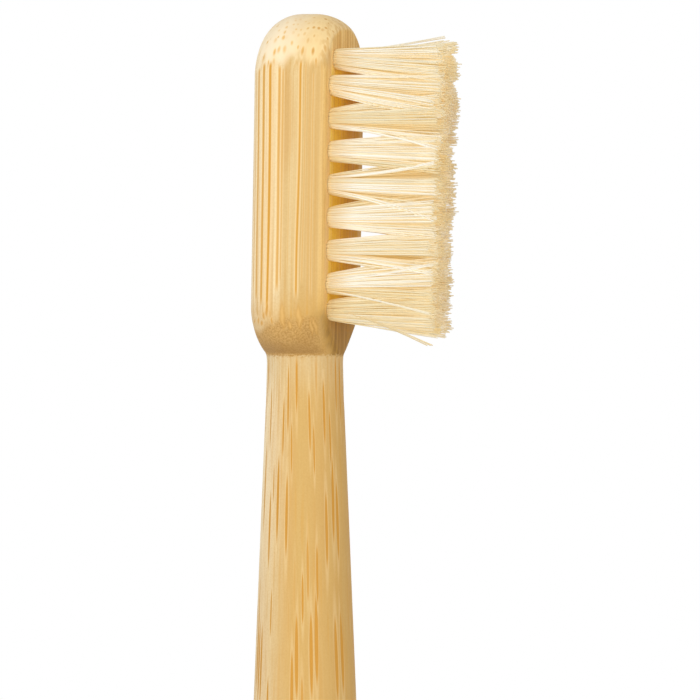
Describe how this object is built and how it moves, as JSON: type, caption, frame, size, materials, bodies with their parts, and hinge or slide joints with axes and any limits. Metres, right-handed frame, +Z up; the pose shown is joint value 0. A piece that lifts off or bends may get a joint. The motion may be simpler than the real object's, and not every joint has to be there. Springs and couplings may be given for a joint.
{
  "type": "manual toothbrush",
  "caption": "Slim bamboo toothbrush with a round grip, tapered neck and rounded block head drilled for bristle tufts, each pinned by a flat metal anchor.",
  "frame": {"origin": "centre of the flat butt at the lower end of the handle", "axes": "+Z up the handle to the tip of the head, +X the way the bristles point, +Y across the head"},
  "size_m": [0.0194, 0.0118, 0.19],
  "materials": {
    "bamboo": "bare sanded bamboo with fine fibre lines, satin",
    "bristle": "cream translucent filament, end-rounded tips",
    "anchor": "cut from flat wire, bare"
  },
  "bodies": {
    "root": {"bamboo_handle": "bamboo", "tuft_row1_column1": "bristle", "tuft_row1_column2": "bristle", "tuft_row1_column3": "bristle", "tuft_row2_column1": "bristle", "tuft_row2_column2": "bristle", "tuft_row2_column3": "bristle", "tuft_row3_column1": "bristle", "tuft_row3_column2": "bristle", "tuft_row3_column3": "bristle", "tuft_row4_column1": "bristle", "tuft_row4_column2": "bristle", "tuft_row4_column3": "bristle", "tuft_row5_column1": "bristle", "tuft_row5_column2": "bristle", "tuft_row5_column3": "bristle", "tuft_row6_column1": "bristle", "tuft_row6_column2": "bristle", "tuft_row6_column3": "bristle", "tuft_row7_column1": "bristle", "tuft_row7_column2": "bristle", "tuft_row7_column3": "bristle", "tuft_row8_column1": "bristle", "tuft_row8_column2": "bristle", "tuft_row8_column3": "bristle", "tuft_row9_column1": "bristle", "tuft_row9_column2": "bristle", "tuft_row9_column3": "bristle", "tuft_anchors": "anchor"}
  },
  "joints": []
}
